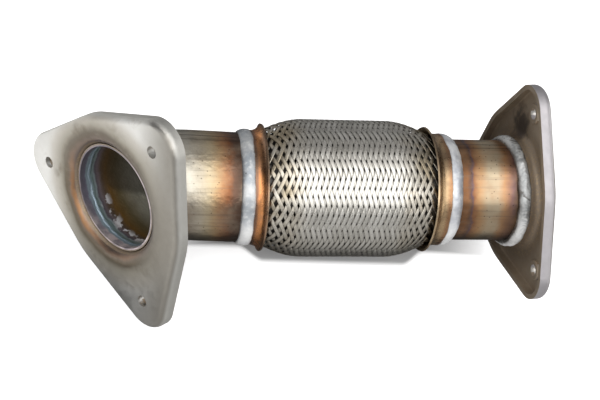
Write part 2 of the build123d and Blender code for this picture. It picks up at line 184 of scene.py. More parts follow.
# Each use of noise on a bead has a number of its own, which is added to the seed
LOW_EDGE, LOW_EDGE_FINE, HIGH_EDGE, HIGH_EDGE_FINE = range(4)
LUMP, SMALL_LUMP, RIPPLE_PLACE, RIPPLE_HEIGHT = range(4, 8)
EDGE_WAVES = 2.5
FINE_EDGE_WAVES = 9
FINE_EDGE_SHARE = 0.4
LUMP_WAVES = 4
LUMP_TWIST = 1.5
SMALL_LUMP_WAVES = 13
SMALL_LUMP_TWIST = 3
SMALL_LUMP_SHARE = 0.5
RIPPLE_BOW = 1.2
RIPPLE_WANDER = 1.5
RIPPLE_WANDER_WAVES = 6
RIPPLE_LEAST = 0.5
RIPPLE_SWING = 0.8
RIPPLE_SWING_WAVES = 5

# Noise runs from 0 to 1, and most of it lies inside these ranges
WIDE_NOISE = (0.2, 0.8)
MOST_NOISE = (0.3, 0.7)

# Strip steel: places are in millimetres from the middle of the pipe
STRIP_TONES = (0.585, 0.565, 0.515), (0.72, 0.70, 0.65)
STRIP_PATCHES = Grain(60)
STRIP_SHINE = Grain(900, 2)
STRIP_SCRATCHES = Grain(2500, 2)
STRIP_SCRATCH_DEPTH = 0.03 * MM
STRIP_ROUGHNESS = (0.26, 0.4)
STRAW = (0.46, 0.39, 0.28)
STRAW_PLACES = (22, 42)
STRAW_PATCHES = (0.35, 0.75)
STRAW_LEAST = 0.35
# Painted shade on the strips: darker where they face down, and along the very top
LOW_STRIPS_PAINTED_SHADE = (0.22, 0.19, 0.14)
LOW_STRIPS_FACING = (0.1, 0.55, 0.28)
TOP_STRIPS_PAINTED_SHADE = (0.18, 0.16, 0.13)
TOP_STRIPS_FACING = (0.94, 0.99, 0.38)
# Painted shade along the strip edges and under the crossing strips
STRIP_PAINTED_SHADE = (0.07, 0.06, 0.045)
STRIP_PAINTED_SHADE_STRENGTH = 0.85

# Weld metal
INLET_WELD_TONES = (0.32, 0.35, 0.38), (0.60, 0.61, 0.61)
OUTLET_WELD_TONES = (0.42, 0.44, 0.48), (0.80, 0.81, 0.82)
FLANGE_WELD_TONES = (0.28, 0.29, 0.29), (0.72, 0.73, 0.72)
# Down towards the near side: where welds get painted light and tubes painted shade
NEAR_BELOW = Vector((0.04, -0.86, -0.51))
WELD_CLOUDS = Grain(70, 4)
WELD_CLOUD_RANGE = (0.35, 0.65)
WELD_GRAIN = Grain(420)
WELD_GRAIN_DEPTH = 0.12 * MM
WELD_PITS = Grain(1300)
WELD_PIT_DEPTH = 0.06 * MM
WELD_ROUGHNESS = (0.42, 0.6)
WHITE_PATCH = (0.88, 0.88, 0.86)
WHITE_PATCH_RANGE = (0.45, 0.75, 0.5)
CRUST = (0.16, 0.15, 0.14)
CRUST_GRAIN = Grain(150, 5, distortion=1.0)
CRUST_RANGE = (0.53, 0.64)
CRUST_SHARE = 0.85
# Painted light on the welds: whiter and less metallic where they face down towards the near side
UNDERSIDE_PAINTED_LIGHT = (0.98, 0.98, 0.97)
UNDERSIDE_FACING = (0.25, 0.9, 0.85)
UNDERSIDE_PATCHES = (0.3, 0.6, 0.7, 1.0)
UNDERSIDE_METAL = (0.0, 0.6, 0.7, 0.1)
PORE = (0.08, 0.07, 0.06)
PORE_WAVES = 160
PORE_SIZE = 0.09
PORE_STRENGTH = 0.6
PORE_DEPTH = 0.2 * MM
# Toes of the beads: darker where the bead meets the metal
TOE = (0.10, 0.08, 0.06)
TOE_PATCHES = (0.3, 0.6)
COLLAR_TOE_DARKENING = 0.35
FLANGE_TOE_DARKENING = 0.85

# Face of the flanges: places are in millimetres from the middle of the mouth
FACE_TONES = (0.72, 0.71, 0.675), (0.84, 0.83, 0.80)
INLET_SKIRT = (0.52, 0.51, 0.475)
OUTLET_SKIRT = (0.44, 0.42, 0.43)
FLANGE_CLOUDS = Grain(28, 4)
FLANGE_CLOUD_REACH = 1.6
FLANGE_GRAIN = Grain(240)
FLANGE_GRAIN_REACH = 0.4
RING_TINTS = (
    (31, (0.15, 0.12, 0.11)), (33, (0.20, 0.165, 0.145)), (35, (0.22, 0.18, 0.15)),
    (37, (0.20, 0.165, 0.13)), (39.5, (0.22, 0.195, 0.155)), (43, (0.40, 0.37, 0.31)),
    (49, (0.58, 0.55, 0.495)), (56, (0.75, 0.735, 0.695)))
RING_RADII = (50, 58)
SMUDGE = (0.17, 0.14, 0.10)
SMUDGE_GRAIN = Grain(55, 4)
SMUDGE_RANGE = (0.5, 0.68, 0.6)
SMUDGE_BAND = (43, 9)
# Orange heat tint on the lip, painted only on its lower side, where it also stands for the light falling
# there
ORANGE_TINT_AND_PAINTED_LIGHT = (0.36, 0.19, 0.09)
ORANGE_BAND = (34.6, 2.4)
ORANGE_HEIGHTS = (-24, 8, 0.9, 0.12)
ORANGE_PLACES = (-16, 2, 1.0, 0.35)
# A dark edge round the ring, low down
DARK_RING_EDGE = (0.13, 0.10, 0.06)
DARK_RING_EDGE_BAND = (38.5, 2.4)
DARK_RING_EDGE_HEIGHTS = (-24, 0, 0.55)
# Painted shade: the ring darker on its upper side
RING_TOP_PAINTED_SHADE = (0.12, 0.095, 0.075)
RING_TOP_SHADE_BAND = (38, 7)
RING_TOP_SHADE_HEIGHTS = (-5, 22, 0.35)
MOTTLE = (0.38, 0.34, 0.28)
MOTTLE_GRAIN = Grain(110, 6, 0.7, 0.6)
MOTTLE_RANGE = (0.52, 0.74, 0.42)
MOTTLE_HEIGHTS = (-10, 30, 0.4, 1.0)
# Painted shade: the face darker towards the tube
TUBEWARD_PAINTED_SHADE = (0.27, 0.25, 0.215)
TUBEWARD_PLACES = (10, 30, 0.9)
SKIRT_FACING = (0.35, 0.8)
SKIRT_OUTWARD = (30, 36)

# Back of the flanges: radii and depths in millimetres, from the middle of the mouth
BACK_TONES = (0.30, 0.235, 0.17), (0.40, 0.33, 0.25)
BACK_CLOUD_RANGE = (0.35, 0.7)
BACK_FACING = (0.3, 0.6)
BACK_DEPTHS = (2.4, 2.9)
BACK_METAL = (0.0, 1.0, 1.0, 0.6)
HOLLOW_OUTWARD = (-6, -2)
HOLLOW_RADII = (38, 40)
NECK_INNER_RADII = (31.6, 31.9)
NECK_OUTER_RADII = (39, 41)
# Painted shade in the hollow, darker near the neck
DEEP_PAINTED_SHADE = (0.13, 0.09, 0.06)
DEEP_RADII = (38, 48, 0.45)
GILT = (0.40, 0.28, 0.14)
GILT_GRAIN = Grain(900, 2)
GILT_RANGE = (0.5, 0.7, 0.5)

# Sooty spot on the back of the outlet flange: its place in metres, and distances in millimetres
SOOT = (0.035, 0.025, 0.02)
SOOT_PLACE = Vector((0.1356, 0.0391, 0.0873))
SOOT_DISTANCES = (4, 15, 0.85)
SOOT_REACH = 4

# Finish of the flanges
FLANGE_ROUGHNESS = (0.32, 0.44)
DULLER = 0.12
FLANGE_PITS = Grain(700)
FLANGE_PIT_DEPTH = 0.06 * MM
FLANGE_DENTS = Grain(90, 2)
FLANGE_DENT_DEPTH = 0.2 * MM

# Outside of the tubes: places are in millimetres from the middle of the pipe
INLET_TUBE_TINTS = (
    (-104, (0.42, 0.39, 0.33)), (-92, (0.50, 0.47, 0.40)), (-86, (0.49, 0.43, 0.33)),
    (-81, (0.50, 0.41, 0.27)), (-76.5, (0.46, 0.31, 0.17)), (-73, (0.38, 0.20, 0.10)),
    (-69.5, (0.25, 0.105, 0.05)), (-66.5, (0.14, 0.08, 0.055)), (-62, (0.09, 0.06, 0.045)))
OUTLET_TUBE_TINTS = (
    (62, (0.13, 0.07, 0.04)), (68.5, (0.20, 0.095, 0.045)), (70.5, (0.13, 0.075, 0.055)),
    (71.5, (0.11, 0.075, 0.09)), (72.7, (0.26, 0.12, 0.06)), (76, (0.44, 0.26, 0.13)),
    (81, (0.47, 0.38, 0.26)), (87, (0.48, 0.39, 0.27)), (91, (0.44, 0.25, 0.13)),
    (94, (0.31, 0.17, 0.11)), (97, (0.20, 0.12, 0.11)), (100, (0.12, 0.08, 0.05)))
TINT_CLOUDS = Grain(45, 4)
TINT_CLOUD_REACH = 2.0
TINT_GRAIN = Grain(260)
TINT_GRAIN_REACH = 0.6
INLET_WASH = (0.36, 0.30, 0.22)
OUTLET_WASH = (0.42, 0.26, 0.15)
WASH_CLOUDS = Grain(70, 4)
WASH_RANGE = (0.4, 0.75, 0.55)
STREAK = (0.16, 0.12, 0.09)
STREAK_GRAIN = Grain(700, 4, 0.5)
STREAK_LENGTH = 30
STREAK_RANGE = (0.5, 0.8, 0.45)
STREAK_DEPTH = 0.04 * MM
SPECK = (0.06, 0.045, 0.03)
SPECK_WAVES = 330
SPECK_SIZE = 0.16
SPECK_STRENGTH = 0.65
# Painted shade on the tubes: darker and browner where they face down towards the near side, most near the
# inlet flange
INLET_END_PAINTED_SHADE = (0.20, 0.115, 0.06)
INLET_END_FACING = (0.1, 0.55)
INLET_END_PLACES = (-99, -84, 0.8)
TUBE_UNDERSIDE_PAINTED_SHADE = (0.09, 0.075, 0.06)
TUBE_UNDERSIDE_FACING = (0.84, 1.0, 0.6)
TUBE_SHINE = Grain(160, 4)
TUBE_ROUGHNESS = (0.3, 0.44)
OUTLET_DENTS = Grain(60, 2)
OUTLET_DENT_DEPTH = 0.3 * MM

# Painted reflections of the horizon, as dark lines along the tubes: angle in degrees, with the near side at
# 0 and the top at 90, and strength
PAINTED_HORIZON_LINES = ((120.8, 0.7), (112.8, 0.45))
HORIZON_REFLECTION = (0.05, 0.035, 0.025)
LINE_BAND = (0.0, 0.03)
LINE_FACING = (0.5, 0.6)

# Inside of the inlet tube: depths in millimetres from the mouth, and places towards the far side
INLET_INSIDE_TINTS = (
    (3, (0.30, 0.26, 0.27)), (5, (0.15, 0.14, 0.17)), (7.6, (0.17, 0.16, 0.21)),
    (8.8, (0.30, 0.38, 0.43)), (10.4, (0.24, 0.31, 0.36)), (11.0, (0.17, 0.21, 0.24)),
    (11.8, (0.27, 0.37, 0.38)), (13.6, (0.30, 0.36, 0.37)), (14.6, (0.13, 0.11, 0.13)),
    (16, (0.20, 0.16, 0.17)), (18.5, (0.13, 0.09, 0.06)), (22, (0.20, 0.11, 0.03)),
    (28, (0.18, 0.14, 0.07)), (38, (0.46, 0.44, 0.36)))
DEPTH_GRAIN = Grain(120)
DEPTH_REACH = 0.9
BORE_RADII = (30.9, 31.3)
INSIDE_DEPTHS = (50, 54)
INSIDE_METAL = (0.0, 1.0, 1.0, 0.55)
GLINT = (0.95, 0.93, 0.95)
GLINT_BAND = (17.0, 5.0)
GLINT_GRAIN = Grain(130, 4)
GLINT_RANGE = (0.52, 0.58)
GLINT_BACKWARD = (19, 25)
# Painted light: a pale haze on the near side just inside the mouth
PAINTED_LIGHT_HAZE = (0.72, 0.62, 0.62)
HAZE_DEPTHS = (7.5, 9.0)
HAZE_BACKWARD = (-6, 18, 0.9)
HAZE_GRAIN = Grain(150)
HAZE_RANGE = (0.35, 0.6, 0.3, 1.0)
BORE_SHADE = (0.05, 0.04, 0.03)
BORE_SHADE_DEPTHS = (17, 24)
BORE_SHADE_BACKWARD = (23, 27, 0.6)
BORE_RIDGE_BAND = (11.5, 1.8)
BORE_RIDGE_HEIGHT = 0.6 * MM
BORE_DENTS = Grain(190)
BORE_DENT_DEPTH = 0.5 * MM

# Collars: places are in millimetres from the rim towards the tube
INLET_COLLAR_TINTS = (
    (0, (0.50, 0.36, 0.24)), (1.2, (0.44, 0.25, 0.14)), (3.0, (0.74, 0.32, 0.12)),
    (5.0, (0.62, 0.27, 0.11)), (6.2, (0.25, 0.14, 0.09)))
OUTLET_COLLAR_TINTS = (
    (0, (0.62, 0.48, 0.31)), (1.2, (0.44, 0.31, 0.18)), (3.0, (0.48, 0.33, 0.18)),
    (6.5, (0.50, 0.35, 0.20)), (8.5, (0.38, 0.21, 0.11)))
COLLAR_CLOUDS = Grain(90, 4)
COLLAR_CLOUD_REACH = 0.4
BLOTCH = (0.20, 0.12, 0.08)
BLOTCH_GRAIN = Grain(200, 4)
BLOTCH_RANGE = (0.45, 0.75, 0.4)
# Painted shade: the collars darker along their very top
COLLAR_TOP_PAINTED_SHADE = (0.10, 0.07, 0.05)
COLLAR_TOP_HEIGHTS = (30.5, 33.5, 0.65)
COLLAR_SHINE = Grain(500)
COLLAR_ROUGHNESS = (0.24, 0.38)
COLLAR_SCRATCHES = Grain(800)
COLLAR_SCRATCH_DEPTH = 0.05 * MM

# Hidden pieces inside the joint
INNER_NODES = ("inlet_support_ring", "outlet_support_ring", "interlock_liner", "bellows")
# Painted shade: the inner pieces are very dark, so that the holes of the weave look shaded
INNER_PAINTED_SHADE_TONES = (0.06, 0.055, 0.05), (0.12, 0.11, 0.10)
INNER_GRAIN = Grain(200)
INNER_ROUGHNESS = 0.4

# Vertices this near to the end of a neck belong to its last ring
END_RING = 0.05 * MM

random.seed(STRIP_SEED)


def axis_centre(node):
    """The centre of a turned node: the mean place of its surface."""
    mesh = frame["nodes"][node].data
    areas = np.zeros(len(mesh.polygons))
    mesh.polygons.foreach_get("area", areas)
    centres = np.zeros(len(mesh.polygons) * 3)
    mesh.polygons.foreach_get("center", centres)
    return Vector((centres.reshape(-1, 3) * areas[:, None]).sum(0) / areas.sum())


def mount(name):
    """The centre and the direction of a mount."""
    found = next(m for m in frame["record"]["mounts"] if m["name"] == name)
    return Vector(found["pos_m"]), Vector(found["axis"]).normalized()


def node_points(node):
    """The vertices of a node, as rows of an array."""
    mesh = frame["nodes"][node].data
    points = np.zeros(len(mesh.vertices) * 3)
    mesh.vertices.foreach_get("co", points)
    return points.reshape(-1, 3)


def end_middle(node, direction):
    """The middle of the ring of vertices that lies furthest in a direction."""
    points = node_points(node)
    reach = points @ np.array(direction)
    ring = points[reach > reach.max() - END_RING]
    side = direction.orthogonal().normalized()
    middle = Vector(ring.mean(0))
    for across in (side, direction.cross(side)):
        places = ring @ np.array(across)
        middle += across * ((places.min() + places.max()) / 2 - middle.dot(across))
    return middle


INLET_COLLAR_MIDDLE = axis_centre("inlet_collar")
OUTLET_COLLAR_MIDDLE = axis_centre("outlet_collar")
PIPE_MIDDLE = (INLET_COLLAR_MIDDLE + OUTLET_COLLAR_MIDDLE) / 2
PIPE_AXIS = (OUTLET_COLLAR_MIDDLE - INLET_COLLAR_MIDDLE).normalized()
PIPE_TOP = (Vector(UPWARD) - PIPE_AXIS * PIPE_AXIS.z).normalized()
PIPE_BACK = PIPE_TOP.cross(PIPE_AXIS).normalized()
INLET_BOLTS, INLET_FACING = mount("inlet_bolts")
OUTLET_BOLTS, OUTLET_FACING = mount("outlet_bolts")
INLET_NECK = end_middle("inlet_flange", -INLET_FACING)
OUTLET_NECK = end_middle("outlet_flange", -OUTLET_FACING)
INLET_MOUTH = INLET_NECK + INLET_FACING * (INLET_BOLTS - INLET_NECK).dot(INLET_FACING)
OUTLET_MOUTH = OUTLET_NECK + OUTLET_FACING * (OUTLET_BOLTS - OUTLET_NECK).dot(OUTLET_FACING)


def along_pipe(point):
    """Distance of a point from the middle of the pipe, along its axis."""
    return (Vector(point) - PIPE_MIDDLE).dot(PIPE_AXIS)


def node_reach(node):
    """How far a node's vertices reach along the pipe, lowest and highest."""
    places = [along_pipe(point) for point in node_points(node)]
    return min(places), max(places)


INLET_RIM = node_reach("inlet_collar")[1]
OUTLET_RIM = node_reach("outlet_collar")[0]
RIM = (OUTLET_RIM - INLET_RIM) / 2


class Surface:
    """A material with one Principled shader, bare metal at first, and short calls for its nodes."""

    def __init__(self, name):
        self.material = bpy.data.materials.new(name)
        self.material.use_nodes = True
        self.tree = self.material.node_tree
        self.shader = self.tree.nodes["Principled BSDF"]
        self.place = self.tree.nodes.new("ShaderNodeTexCoord").outputs["Object"]
        self.normal = self.tree.nodes.new("ShaderNodeNewGeometry").outputs["Normal"]
        self.set("Metallic", 1.0)

    def link(self, value, socket):
        """Sets a socket to a number, a colour or the output of a node."""
        if isinstance(value, bpy.types.NodeSocket):
            self.tree.links.new(value, socket)
        elif isinstance(value, (tuple, list)) and socket.type == "RGBA":
            socket.default_value = (*value[:3], 1.0)
        else:
            socket.default_value = value

    def set(self, name, value):
        """Sets an input of the shader."""
        self.link(value, self.shader.inputs[name])

    def math(self, operation, first, second=0.0, clamp=False):
        """A sum, product or other operation on numbers."""
        node = self.tree.nodes.new("ShaderNodeMath")
        node.operation = operation
        node.use_clamp = clamp
        self.link(first, node.inputs[0])
        self.link(second, node.inputs[1])
        return node.outputs[0]

    def together(self, operation, first, *others):
        """One operation over several values."""
        for other in others:
            first = self.math(operation, first, other)
        return first

    def times(self, *values):
        """The product of several values."""
        return self.together("MULTIPLY", *values)

    def plus(self, *values):
        """The sum of several values."""
        return self.together("ADD", *values)

    def most(self, *values):
        """The largest of several values."""
        return self.together("MAXIMUM", *values)

    def off(self, value, middle):
        """How far a value lies from another."""
        return self.math("ABSOLUTE", self.math("SUBTRACT", value, middle))

    def vector(self, operation, first, second=(0.0, 0.0, 0.0), output="Vector"):
        """An operation on vectors."""
        node = self.tree.nodes.new("ShaderNodeVectorMath")
        node.operation = operation
        self.link(first, node.inputs[0])
        self.link(second, node.inputs[1])
        return node.outputs[output]

    def scaled(self, vector, factor):
        """A vector times a number."""
        node = self.tree.nodes.new("ShaderNodeVectorMath")
        node.operation = "SCALE"
        self.link(vector, node.inputs[0])
        self.link(factor, node.inputs["Scale"])
        return node.outputs["Vector"]

    def from_point(self, origin):
        """The vector from a fixed point to the shaded one."""
        return self.vector("SUBTRACT", self.place, tuple(origin))

    def away(self, origin):
        """Distance from a fixed point, in millimetres."""
        return self.times(self.vector("LENGTH", self.from_point(origin), output="Value"), 1 / MM)

    def along(self, origin, axis):
        """Distance from a point, measured along an axis, in millimetres."""
        distance = self.vector("DOT_PRODUCT", self.from_point(origin), tuple(axis), output="Value")
        return self.times(distance, 1 / MM)

    def from_axis(self, origin, axis):
        """Distance from an axis, in millimetres."""
        across = self.vector("CROSS_PRODUCT", self.from_point(origin), tuple(axis))
        return self.times(self.vector("LENGTH", across, output="Value"), 1 / MM)

    def facing(self, direction):
        """How far the surface faces a fixed direction of the part, from -1 to 1."""
        return self.vector("DOT_PRODUCT", self.normal, tuple(direction), output="Value")

    def outward(self, origin):
        """How far the surface faces away from a fixed point, in millimetres."""
        distance = self.vector("DOT_PRODUCT", self.from_point(origin), self.normal, output="Value")
        return self.times(distance, 1 / MM)

    def noise(self, grain, place=None):
        """Noise from 0 to 1, at the shaded point or at another place."""
        node = self.tree.nodes.new("ShaderNodeTexNoise")
        node.inputs["Scale"].default_value = grain.waves
        node.inputs["Detail"].default_value = grain.detail
        node.inputs["Roughness"].default_value = grain.roughness
        node.inputs["Distortion"].default_value = grain.distortion
        self.link(place or self.place, node.inputs["Vector"])
        return node.outputs["Fac"]

    def streaks(self, grain, axis, length):
        """Noise that is drawn out along an axis by a factor, as a brushed finish is."""
        distance = self.vector("DOT_PRODUCT", self.place, tuple(axis), output="Value")
        lengthwise = self.scaled(tuple(axis), distance)
        across = self.vector("SUBTRACT", self.place, lengthwise)
        return self.noise(grain, self.vector("ADD", across, self.scaled(lengthwise, 1 / length)))

    def layer(self, name):
        """The values of a layer that is stored on the mesh."""
        node = self.tree.nodes.new("ShaderNodeAttribute")
        node.attribute_name = name
        return node.outputs["Fac"]

    def specks(self, waves, size):
        """Small round specks, 1 in their middles."""
        node = self.tree.nodes.new("ShaderNodeTexVoronoi")
        node.inputs["Scale"].default_value = waves
        self.link(self.place, node.inputs["Vector"])
        return self.fade(node.outputs["Distance"], size / 2, size)

    def spread(self, value, low, high, to_low=0.0, to_high=1.0, smooth=True):
        """Maps a range onto another, and stops at its ends."""
        node = self.tree.nodes.new("ShaderNodeMapRange")
        node.interpolation_type = "SMOOTHSTEP" if smooth else "LINEAR"
        for name, number in (("From Min", low), ("From Max", high), ("To Min", to_low), ("To Max", to_high)):
            node.inputs[name].default_value = number
        self.link(value, node.inputs["Value"])
        return node.outputs["Result"]

    def grow(self, value, low, high, strength=1.0):
        """0 below a range, and a strength above it."""
        return self.spread(value, low, high, 0.0, strength)

    def fade(self, value, low, high, strength=1.0):
        """A strength below a range, and 0 above it."""
        return self.spread(value, low, high, strength, 0.0)

    def band(self, value, middle, width):
        """1 at a value, and 0 beyond a width on both sides of it."""
        return self.fade(self.off(value, middle), 0.0, width)

    def uneven(self, grainy, reach):
        """Noise as a shift, by a reach to both sides."""
        return self.spread(grainy, *WIDE_NOISE, -reach, reach)

    def shine(self, grainy, smoothest, roughest):
        """Roughness that follows noise."""
        return self.spread(grainy, *MOST_NOISE, smoothest, roughest)

    def ramp(self, value, stops):
        """A colour for a value: stops are (value, colour)."""
        low, high = stops[0][0], stops[-1][0]
        node = self.tree.nodes.new("ShaderNodeValToRGB")
        elements = node.color_ramp.elements
        while len(elements) < len(stops):
            elements.new(1.0)
        for element, (place, colour) in zip(elements, stops):
            element.position = (place - low) / (high - low)
            element.color = (*colour, 1.0)
        self.link(self.spread(value, low, high, smooth=False), node.inputs["Fac"])
        return node.outputs["Color"]

    def mix(self, share, first, second):
        """A mix of two colours: a share of 0 gives the first."""
        node = self.tree.nodes.new("ShaderNodeMix")
        node.data_type = "RGBA"
        self.link(share, node.inputs["Factor"])
        self.link(first, node.inputs["A"])
        self.link(second, node.inputs["B"])
        return node.outputs["Result"]

    def bump(self, *layers):
        """Stacks bumps: each layer is (height from 0 to 1, depth in metres)."""
        normal = None
        for height, depth in layers:
            node = self.tree.nodes.new("ShaderNodeBump")
            node.inputs["Distance"].default_value = depth
            self.link(height, node.inputs["Height"])
            if normal is not None:
                self.link(normal, node.inputs["Normal"])
            normal = node.outputs["Normal"]
        self.set("Normal", normal)


def paint(node, material):
    """Gives a node of the frame its material."""
    mesh = frame["nodes"][node].data
    mesh.materials.clear()
    mesh.materials.append(material)


def new_piece(name, vertices, faces, layers, material, slot, replaced):
    """A mesh with layers of values, which rides on the pipe and stands for a node of the frame."""
    mesh = bpy.data.meshes.new(name)
    mesh.from_pydata(vertices, [], faces)
    mesh.shade_smooth()
    mesh.materials.append(material)
    for layer_name, values in layers.items():
        layer = mesh.attributes.new(layer_name, "FLOAT", "POINT")
        layer.data.foreach_set("value", values)
    piece = bpy.data.objects.new(name, mesh)
    bpy.context.scene.collection.objects.link(piece)
    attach(piece, "root")
    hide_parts(replaced)


def on_pipe(distance, radius, angle):
    """A point at a distance along the pipe, a radius and an angle round it."""
    across = PIPE_TOP * math.cos(angle) + PIPE_BACK * math.sin(angle)
    return PIPE_MIDDLE + PIPE_AXIS * distance + across * radius


# Sleeve


def sleeve_radius(distance):
    """Outside radius of the sleeve: the curve of the frame with a softer shoulder."""
    inboard = RIM - abs(distance)
    if inboard >= SWELL_LENGTH:
        return BELLY_R
    if inboard >= 0:
        left = 1 - inboard / SWELL_LENGTH
        return BELLY_R - (BELLY_R - MOUTH_R) * left ** SWELL_EXPONENT
    if inboard > -TUCK_LENGTH:
        left = 1 + inboard / TUCK_LENGTH
        return CLAMPED_R + (MOUTH_R - CLAMPED_R) * left ** TUCK_EXPONENT
    return CLAMPED_R


def turns_to_distance(turns):
    """Distance along the pipe after a count of strip pitches: the pitch grows towards the ends."""
    beyond = max(abs(turns) - EVEN_TURNS, 0)
    distance = abs(turns) * BELLY_PITCH + PITCH_GROWTH * beyond ** 2 / 2
    return math.copysign(distance, turns)


def local_pitch(turns):
    """Pitch of the strips along the pipe."""
    return BELLY_PITCH + PITCH_GROWTH * max(abs(turns) - EVEN_TURNS, 0)


def last_turn():
    """The count of pitches at which the strips end inside the cuffs."""
    turns = 0.0
    while turns_to_distance(turns) < RIM + SLEEVE_OVERRUN:
        turns += TURN_STEP
    return turns


def weave_height(crossing):
    """Place of a strip over (1) or under (-1) the others: over two, then under two."""
    phase = (crossing + WEAVE_SHIFT) % (2 * STRIPS_OVER)
    if phase > STRIPS_OVER:
        return -weave_height(crossing - STRIPS_OVER)
    edge = min(phase, STRIPS_OVER - phase)
    return math.sin(math.pi / 2 * min(edge / WEAVE_FLANK, 1))


def strip_rows(lean, index, end_turn, wander):
    """Rows of points along one strip. The rows run along the strips that cross it, so folds are clean."""
    rows = []
    step = math.pi / STRIPS_EACH_WAY
    for crossing in range(int(-2 * end_turn) + 1, int(2 * end_turn) - 1):
        for sample in CROSSING_SAMPLES:
            other = index + crossing + sample
            height = weave_height(other + index) * lean
            middle_turns = (other - index) / 2
            pitch = local_pitch(middle_turns)
            slope = math.atan2(2 * step * sleeve_radius(turns_to_distance(middle_turns)), pitch)
            half_width = STRIP_WIDTH / 2 / (pitch * math.sin(slope))
            row = []
            for side in STRIP_SIDES:
                own = index + side * half_width + wander(middle_turns)
                distance = turns_to_distance((other - own) / 2)
                angle = step * (own + other) + WEAVE_TURN
                radius = sleeve_radius(distance) - WEAVE_RISE * (1 - height) - STRIP_CROWN * side ** 2
                # Painted shade along the edges of the strip and where it passes under the others
                grime = max(EDGE_PAINTED_SHADE * (abs(side) == 1), UNDER_PAINTED_SHADE * (1 - height) / 2)
                row.append((distance * lean, radius, angle, grime))
            rows.append(row)
    return rows


def strips(lean):
    """All the strips that lean one way, as one mesh, each with its own tone and painted shade along its
    edges and under-passes.
    """
    vertices, faces, shades, painted_shades = [], [], [], []
    end_turn = last_turn()
    ring = len(STRIP_SIDES) + 2
    for index in range(STRIPS_EACH_WAY):
        phase = random.uniform(0, WANDER_START)
        size = random.uniform(*WANDER_SIZES)
        shade = random.random()

        def wander(turns, phase=phase, size=size):
            return size * math.sin(turns * WANDER_RATE + phase)

        rows = strip_rows(lean, index, end_turn, wander)
        start = len(vertices)
        for row in rows:
            for distance, radius, angle, grime in row:
                vertices.append(on_pipe(distance, radius, angle))
                painted_shades.append(grime)
            for distance, radius, angle, grime in (row[-1], row[0]):
                vertices.append(on_pipe(distance, radius - STRIP_THICKNESS, angle))
                painted_shades.append(grime)
        shades += [shade] * (len(rows) * ring)
        for row in range(len(rows) - 1):
            for side in range(ring):
                here = start + row * ring + side
                beside = start + row * ring + (side + 1) % ring
                quad = (here, beside, beside + ring, here + ring)
                faces.append(quad if lean > 0 else quad[::-1])
        faces.append(tuple(range(start, start + ring))[::-lean])
        faces.append(tuple(range(len(vertices) - ring, len(vertices)))[::lean])
    return vertices, faces, {"shade": shades, "grime": painted_shades}


def strip_steel():
    """Bright drawn strip: straw near the cuffs, painted shade low down, at the very top, at its edges and
    under-passes.
    """
    surface = Surface("strip_steel")
    tone = surface.mix(surface.layer("shade"), *STRIP_TONES)
    near_end = surface.grow(surface.math("ABSOLUTE", surface.along(PIPE_MIDDLE, PIPE_AXIS)), *STRAW_PLACES)
    patches = surface.grow(surface.noise(STRIP_PATCHES), *STRAW_PATCHES)
    straw = surface.math("MULTIPLY", near_end, surface.plus(patches, STRAW_LEAST), clamp=True)
    tone = surface.mix(straw, tone, STRAW)
    height = surface.facing(PIPE_TOP)
    # Painted shade: darker on the low side and along the very top
    tone = surface.mix(surface.fade(height, *LOW_STRIPS_FACING), tone, LOW_STRIPS_PAINTED_SHADE)
    tone = surface.mix(surface.grow(height, *TOP_STRIPS_FACING), tone, TOP_STRIPS_PAINTED_SHADE)
    # Painted shade along the edges and under the crossing strips
    grime = surface.times(surface.layer("grime"), STRIP_PAINTED_SHADE_STRENGTH)
    surface.set("Base Color", surface.mix(grime, tone, STRIP_PAINTED_SHADE))
    surface.set("Roughness", surface.shine(surface.noise(STRIP_SHINE), *STRIP_ROUGHNESS))
    surface.bump((surface.noise(STRIP_SCRATCHES), STRIP_SCRATCH_DEPTH))
    return surface.material


def make_sleeve():
    """The woven sleeve: strips of both leans, each over two and under two of the others."""
    material = strip_steel()
    for name, lean in (("sleeve_strips_right", 1), ("sleeve_strips_left", -1)):
        new_piece(name, *strips(lean), material, "braid_steel", "outer_braid")


# Weld beads


def upper_hull(points):
    """The points of a section that lie on its outer side, from left to right."""
    hull = []
    for point in sorted(points):
        while len(hull) > 1:
            (x0, y0), (x1, y1) = hull[-2:]
            if (x1 - x0) * (point[1] - y0) - (y1 - y0) * (point[0] - x0) < 0:
                break
            hull.pop()
        hull.append(point)
    return hull


def section(node, origin, axis):
    """The section of a turned node, as (place along the axis, radius)."""
    offsets = node_points(node) - np.array(origin)
    places = offsets @ np.array(axis)
    radii = np.linalg.norm(offsets - np.outer(places, axis), axis=1)
    return list(zip(places.tolist(), radii.tolist()))


def curl(seed, angle, waves, height=0.0):
    """Smooth noise round a ring, from -1 to 1."""
    spot = Vector((math.cos(angle) * waves, math.sin(angle) * waves, seed * SEED_STEP + height))
    return noise.noise(spot)


def edge_shift(run, angle, coarse, fine):
    """How far an edge of a bead strays along the pipe."""
    slow = curl(run.seed + coarse, angle, EDGE_WAVES)
    quick = curl(run.seed + fine, angle, FINE_EDGE_WAVES)
    return (slow + FINE_EDGE_SHARE * quick) * run.wander


def relief(run, angle, radius, share, body):
    """Height of the lumps and ripples on a bead, at an angle and a share of its width."""
    lump = curl(run.seed + LUMP, angle, LUMP_WAVES, share * LUMP_TWIST)
    small_lump = curl(run.seed + SMALL_LUMP, angle, SMALL_LUMP_WAVES, share * SMALL_LUMP_TWIST)
    stray = RIPPLE_WANDER * curl(run.seed + RIPPLE_PLACE, angle, RIPPLE_WANDER_WAVES)
    phase = angle * radius / run.pitch + RIPPLE_BOW * body + stray
    swing = RIPPLE_LEAST + RIPPLE_SWING * abs(curl(run.seed + RIPPLE_HEIGHT, angle, RIPPLE_SWING_WAVES))
    wave = math.sin(2 * math.pi * phase) * swing
    return (lump + SMALL_LUMP_SHARE * small_lump) * run.lumps + wave * run.ripple


